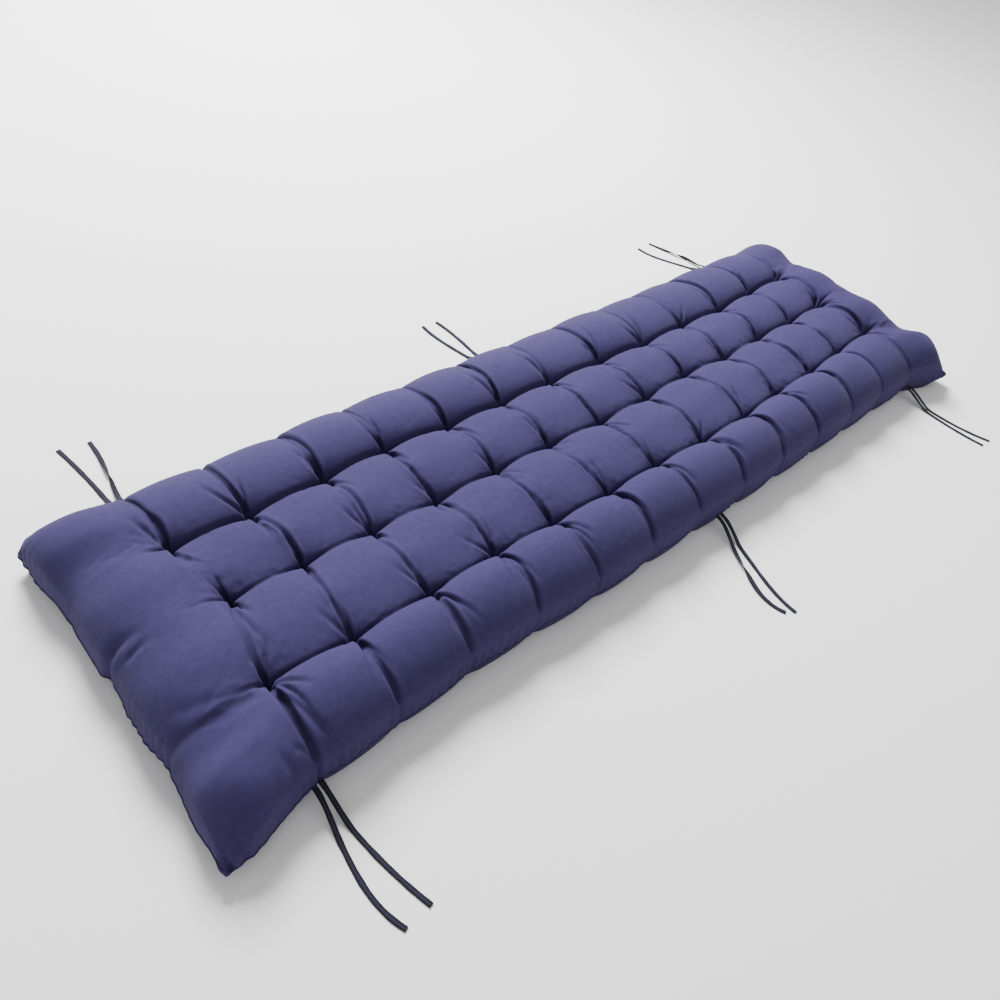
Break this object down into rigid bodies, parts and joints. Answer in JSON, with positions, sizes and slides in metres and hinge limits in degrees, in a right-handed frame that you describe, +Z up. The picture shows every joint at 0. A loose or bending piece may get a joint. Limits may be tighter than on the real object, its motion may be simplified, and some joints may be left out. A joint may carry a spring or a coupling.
{
  "type": "sun lounger cushion",
  "caption": "Long tufted sun lounger cushion with rows of puffs, drawn-in seams and pairs of narrow tapes along both sides for tying it down.",
  "frame": {"origin": "middle of the cushion's footprint, on the surface that it lies on", "axes": "+X along the cushion, +Y across it towards the far long side, +Z up"},
  "size_m": [1.55, 0.8047, 0.1041],
  "materials": {
    "cover_cloth": "matte brushed indigo-navy cotton or polyester cloth",
    "tie_tape": "near-black navy folded tape with a faint sheen"
  },
  "bodies": {
    "root": {"cushion": "cover_cloth", "tie_near_head_a": "tie_tape", "tie_near_head_b": "tie_tape", "tie_near_waist_a": "tie_tape", "tie_near_waist_b": "tie_tape", "tie_near_foot_a": "tie_tape", "tie_near_foot_b": "tie_tape", "tie_far_head_a": "tie_tape", "tie_far_head_b": "tie_tape", "tie_far_waist_a": "tie_tape", "tie_far_waist_b": "tie_tape", "tie_far_foot_a": "tie_tape", "tie_far_foot_b": "tie_tape"}
  },
  "joints": []
}
